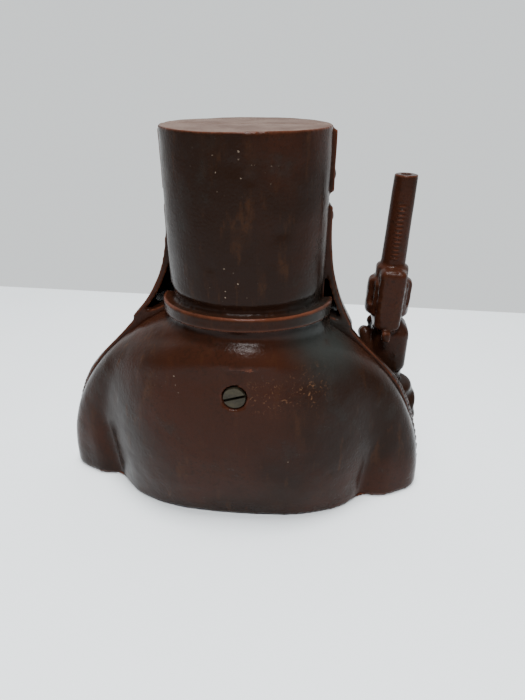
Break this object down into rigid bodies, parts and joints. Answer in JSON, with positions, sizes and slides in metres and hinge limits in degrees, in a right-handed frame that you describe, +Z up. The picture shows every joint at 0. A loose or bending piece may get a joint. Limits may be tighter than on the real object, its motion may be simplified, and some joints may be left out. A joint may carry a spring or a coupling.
{
  "type": "mechanical bank",
  "caption": "Cast-iron bust money box of an armoured figure in a cylindrical helmet, whose raised pistol arm tips a coin shelf behind the eye slit.",
  "frame": {"origin": "centre of the footprint of the whole object, on the surface that it stands on", "axes": "+Z up; the figure faces -Y; +X is to the figure's left, so the pistol arm is at -X"},
  "size_m": [0.176, 0.0833, 0.165],
  "materials": {
    "lacquered_iron": "semi-gloss brown lacquer over fine-grained casting",
    "machined_steel": "turned steel, slightly dull",
    "sheet_steel": "rolled sheet, dull",
    "spring_steel": "drawn wire",
    "aged_brass": "tarnished"
  },
  "bodies": {
    "bank_body": {"base_plate": "lacquered_iron", "base_screws": "machined_steel", "body_screw": "aged_brass", "front_shell": "lacquered_iron", "rear_shell": "lacquered_iron", "return_spring": "spring_steel", "shelf_pin": "machined_steel"},
    "pistol_arm": {"gun_arm": "lacquered_iron", "arm_shaft": "machined_steel", "arm_crank": "machined_steel", "shaft_washer": "machined_steel", "crank_washer": "machined_steel", "crank_nut": "machined_steel", "crank_pin": "machined_steel", "crank_pin_clip": "machined_steel"},
    "link": {"link_rod": "machined_steel"},
    "shelf": {"coin_shelf": "sheet_steel", "shelf_link_pin": "machined_steel", "shelf_pin_clip": "machined_steel"},
    "trap": {"coin_trap": "sheet_steel"}
  },
  "joints": [
    {"name": "arm_swing", "type": "hinge", "parent": "bank_body", "child": "pistol_arm", "pos_m": [-0.06, -0.023, 0.028], "axis": [1, 0, 0], "range_deg": [0, 45], "stiffness_Nm_per_rad": 0.08, "springref_deg": -28.65, "deforming": ["return_spring"]},
    {"name": "link_swing", "type": "hinge", "parent": "pistol_arm", "child": "link", "pos_m": [-0.0374, -0.011, 0.028], "axis": [1, 0, 0], "range_deg": [-45, 0]},
    {"name": "shelf_tip", "type": "hinge", "parent": "bank_body", "child": "shelf", "pos_m": [-0.004, 0.003, 0.1275], "axis": [1, 0, 0], "range_deg": [0, 45]},
    {"name": "trap_slide", "type": "slide", "parent": "bank_body", "child": "trap", "axis": [1, 0, 0], "range_m": [-0.042, 0]}
  ],
  "couplings": [
    {"joint": "link_swing", "follows": "arm_swing", "ratio": -1},
    {"joint": "shelf_tip", "follows": "arm_swing", "ratio": 1}
  ]
}
